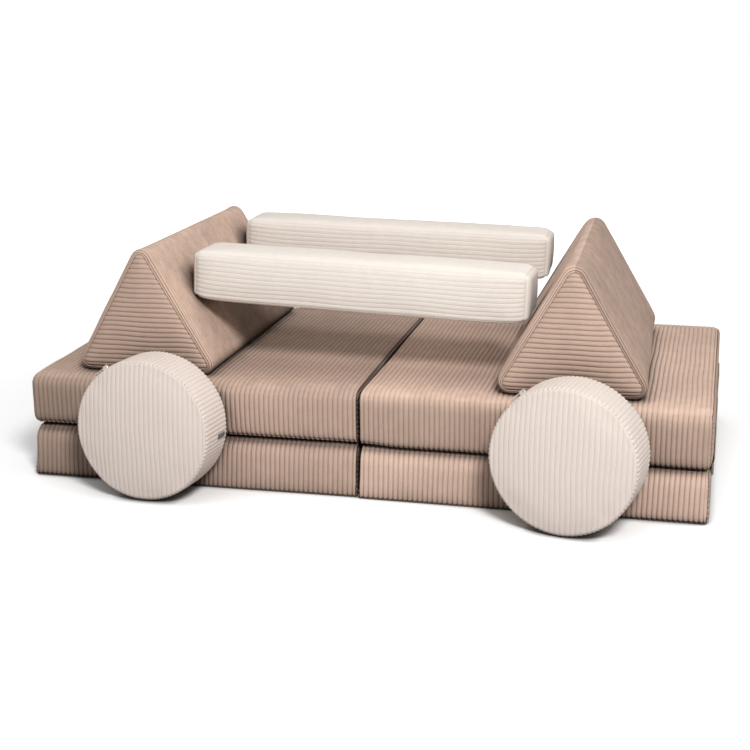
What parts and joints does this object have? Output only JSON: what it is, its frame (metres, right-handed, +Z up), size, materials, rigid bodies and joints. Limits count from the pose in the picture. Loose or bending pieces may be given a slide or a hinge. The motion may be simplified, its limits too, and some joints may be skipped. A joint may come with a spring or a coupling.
{
  "type": "modular foam play sofa",
  "caption": "Modular foam play sofa of zipped corduroy blocks: folded mattresses side by side, prism armrests, long bars laid across them and discs leaning on the front.",
  "frame": {"origin": "centre of the overall box, at floor level", "axes": "+X to the right along the front, +Y from the front to the back, +Z up"},
  "size_m": [1.2134, 0.7576, 0.4116],
  "materials": {
    "brown_corduroy": "rose-brown wide corduroy",
    "cream_corduroy": "cream wide corduroy",
    "foam": "open-cell foam, pale yellow",
    "brown_zip": "dark brown zip tape and coil",
    "cream_zip": "beige zip tape and coil",
    "zip_metal": "plain nickel",
    "woven_tab": "blank dark woven tab"
  },
  "bodies": {
    "lower_left": {"lower_left_cover": "brown_corduroy", "lower_left_foam": "foam", "lower_left_zipper": "brown_zip", "left_fold_lower_flap": "brown_corduroy"},
    "lower_left_zip_slider": {"lower_left_zip_slider": "zip_metal"},
    "lower_left_zip_pull": {"lower_left_zip_pull": "zip_metal"},
    "upper_left": {"upper_left_cover": "brown_corduroy", "upper_left_foam": "foam", "upper_left_zipper": "brown_zip", "left_fold_upper_flap": "brown_corduroy"},
    "upper_left_zip_slider": {"upper_left_zip_slider": "zip_metal"},
    "upper_left_zip_pull": {"upper_left_zip_pull": "zip_metal"},
    "lower_right": {"lower_right_cover": "brown_corduroy", "lower_right_foam": "foam", "lower_right_zipper": "brown_zip", "right_fold_lower_flap": "brown_corduroy"},
    "lower_right_zip_slider": {"lower_right_zip_slider": "zip_metal"},
    "lower_right_zip_pull": {"lower_right_zip_pull": "zip_metal"},
    "upper_right": {"upper_right_cover": "brown_corduroy", "upper_right_foam": "foam", "upper_right_zipper": "brown_zip", "right_fold_upper_flap": "brown_corduroy"},
    "upper_right_zip_slider": {"upper_right_zip_slider": "zip_metal"},
    "upper_right_zip_pull": {"upper_right_zip_pull": "zip_metal"},
    "left_prism": {"left_prism_cover": "brown_corduroy", "left_prism_foam": "foam", "left_prism_zipper": "brown_zip"},
    "left_prism_zip_slider": {"left_prism_zip_slider": "zip_metal"},
    "left_prism_zip_pull": {"left_prism_zip_pull": "zip_metal"},
    "right_prism": {"right_prism_cover": "brown_corduroy", "right_prism_foam": "foam", "right_prism_zipper": "brown_zip"},
    "right_prism_zip_slider": {"right_prism_zip_slider": "zip_metal"},
    "right_prism_zip_pull": {"right_prism_zip_pull": "zip_metal"},
    "front_bar": {"front_bar_cover": "cream_corduroy", "front_bar_foam": "foam", "front_bar_zipper": "cream_zip"},
    "front_bar_zip_slider": {"front_bar_zip_slider": "zip_metal"},
    "front_bar_zip_pull": {"front_bar_zip_pull": "zip_metal"},
    "rear_bar": {"rear_bar_cover": "cream_corduroy", "rear_bar_foam": "foam", "rear_bar_zipper": "cream_zip"},
    "rear_bar_zip_slider": {"rear_bar_zip_slider": "zip_metal"},
    "rear_bar_zip_pull": {"rear_bar_zip_pull": "zip_metal"},
    "left_disc": {"left_disc_cover": "cream_corduroy", "left_disc_foam": "foam", "left_disc_zipper": "cream_zip", "left_disc_tab": "woven_tab"},
    "left_disc_zip_slider": {"left_disc_zip_slider": "zip_metal"},
    "left_disc_zip_pull": {"left_disc_zip_pull": "zip_metal"},
    "right_disc": {"right_disc_cover": "cream_corduroy", "right_disc_foam": "foam", "right_disc_zipper": "cream_zip"},
    "right_disc_zip_slider": {"right_disc_zip_slider": "zip_metal"},
    "right_disc_zip_pull": {"right_disc_zip_pull": "zip_metal"}
  },
  "joints": [
    {"name": "left_fold", "type": "hinge", "parent": "upper_left", "child": "lower_left", "pos_m": [-0.60689, 0.0672, 0.0927], "axis": [0, 1, 0], "range_deg": [0, 180]},
    {"name": "right_fold", "type": "hinge", "parent": "upper_right", "child": "lower_right", "pos_m": [0.60099, 0.05059, 0.0927], "axis": [-0.0209, -0.9998, 0], "range_deg": [0, 180]},
    {"name": "mattresses_apart", "type": "slide", "parent": "upper_left", "child": "upper_right", "axis": [1, 0, 0], "range_m": [0, 0.3]},
    {"name": "left_prism_off", "type": "slide", "parent": "upper_left", "child": "left_prism", "axis": [-0.7071, 0, 0.7071], "range_m": [0, 0.3]},
    {"name": "right_prism_off", "type": "slide", "parent": "upper_right", "child": "right_prism", "axis": [0.7071, 0, 0.7071], "range_m": [0, 0.3]},
    {"name": "front_bar_off", "type": "slide", "parent": "upper_left", "child": "front_bar", "axis": [0, 0, 1], "range_m": [0, 0.25]},
    {"name": "rear_bar_off", "type": "slide", "parent": "upper_left", "child": "rear_bar", "axis": [0, 0, 1], "range_m": [0, 0.25]},
    {"name": "left_disc_off", "type": "slide", "parent": "upper_left", "child": "left_disc", "axis": [0, -1, 0], "range_m": [0, 0.3]},
    {"name": "right_disc_off", "type": "slide", "parent": "upper_right", "child": "right_disc", "axis": [0, -1, 0], "range_m": [0, 0.3]},
    {"name": "lower_left_zip", "type": "slide", "parent": "lower_left", "child": "lower_left_zip_slider", "axis": [-1, 0, 0], "range_m": [0, 0.481]},
    {"name": "lower_left_pull", "type": "hinge", "parent": "lower_left_zip_slider", "child": "lower_left_zip_pull", "pos_m": [-0.06579, 0.37635, 0.04625], "axis": [0, 0, -1], "range_deg": [0, 180]},
    {"name": "upper_left_zip", "type": "slide", "parent": "upper_left", "child": "upper_left_zip_slider", "axis": [-1, 0, 0], "range_m": [0, 0.481]},
    {"name": "upper_left_pull", "type": "hinge", "parent": "upper_left_zip_slider", "child": "upper_left_zip_pull", "pos_m": [-0.0658, 0.37635, 0.13915], "axis": [0, 0, -1], "range_deg": [0, 180]},
    {"name": "lower_right_zip", "type": "slide", "parent": "lower_right", "child": "lower_right_zip_slider", "axis": [-0.9998, 0.0209, 0], "range_m": [0, 0.481]},
    {"name": "lower_right_pull", "type": "hinge", "parent": "lower_right_zip_slider", "child": "lower_right_zip_pull", "pos_m": [0.54738, 0.36094, 0.04625], "axis": [0, 0, -1], "range_deg": [0, 180]},
    {"name": "upper_right_zip", "type": "slide", "parent": "upper_right", "child": "upper_right_zip_slider", "axis": [-0.9998, 0.0209, 0], "range_m": [0, 0.481]},
    {"name": "upper_right_pull", "type": "hinge", "parent": "upper_right_zip_slider", "child": "upper_right_zip_pull", "pos_m": [0.54738, 0.36094, 0.13915], "axis": [0, 0, -1], "range_deg": [0, 180]},
    {"name": "left_prism_zip", "type": "slide", "parent": "left_prism", "child": "left_prism_zip_slider", "axis": [-0.9999, 0.0157, 0], "range_m": [0, 0.127]},
    {"name": "left_prism_pull", "type": "hinge", "parent": "left_prism_zip_slider", "child": "left_prism_zip_pull", "pos_m": [-0.33162, 0.32732, 0.2258], "axis": [0, 0, -1], "range_deg": [0, 180]},
    {"name": "right_prism_zip", "type": "slide", "parent": "right_prism", "child": "right_prism_zip_slider", "axis": [-1, -0.0035, 0], "range_m": [0, 0.127]},
    {"name": "right_prism_pull", "type": "hinge", "parent": "right_prism_zip_slider", "child": "right_prism_zip_pull", "pos_m": [0.40928, 0.31057, 0.2258], "axis": [0, 0, -1], "range_deg": [0, 180]},
    {"name": "front_bar_zip", "type": "slide", "parent": "front_bar", "child": "front_bar_zip_slider", "axis": [-0.9985, 0.0471, 0.0279], "range_m": [0, 0.481]},
    {"name": "front_bar_pull", "type": "hinge", "parent": "front_bar_zip_slider", "child": "front_bar_zip_pull", "pos_m": [0.21146, -0.04554, 0.33648], "axis": [-0.0279, 0.0013, -0.9996], "range_deg": [0, 180]},
    {"name": "rear_bar_zip", "type": "slide", "parent": "rear_bar", "child": "rear_bar_zip_slider", "axis": [-0.9995, -0.0105, 0.0314], "range_m": [0, 0.481]},
    {"name": "rear_bar_pull", "type": "hinge", "parent": "rear_bar_zip_slider", "child": "rear_bar_zip_pull", "pos_m": [0.21053, 0.30036, 0.3393], "axis": [-0.0314, -0.0003, -0.9995], "range_deg": [0, 180]},
    {"name": "left_disc_zip", "type": "hinge", "parent": "left_disc", "child": "left_disc_zip_slider", "pos_m": [-0.36029, -0.29411, 0.12344], "axis": [-0.0836, -0.9955, 0.0454], "range_deg": [0, 101.25]},
    {"name": "left_disc_pull", "type": "hinge", "parent": "left_disc_zip_slider", "child": "left_disc_zip_pull", "pos_m": [-0.43967, -0.283, 0.22085], "axis": [0.0836, 0.9955, -0.0454], "range_deg": [0, 180]},
    {"name": "right_disc_zip", "type": "hinge", "parent": "right_disc", "child": "right_disc_zip_slider", "pos_m": [0.3567, -0.31441, 0.12292], "axis": [-0.1907, -0.9812, 0.0279], "range_deg": [0, 101.25]},
    {"name": "right_disc_pull", "type": "hinge", "parent": "right_disc_zip_slider", "child": "right_disc_zip_pull", "pos_m": [0.27867, -0.29647, 0.22039], "axis": [0.1907, 0.9812, -0.0279], "range_deg": [0, 180]}
  ]
}
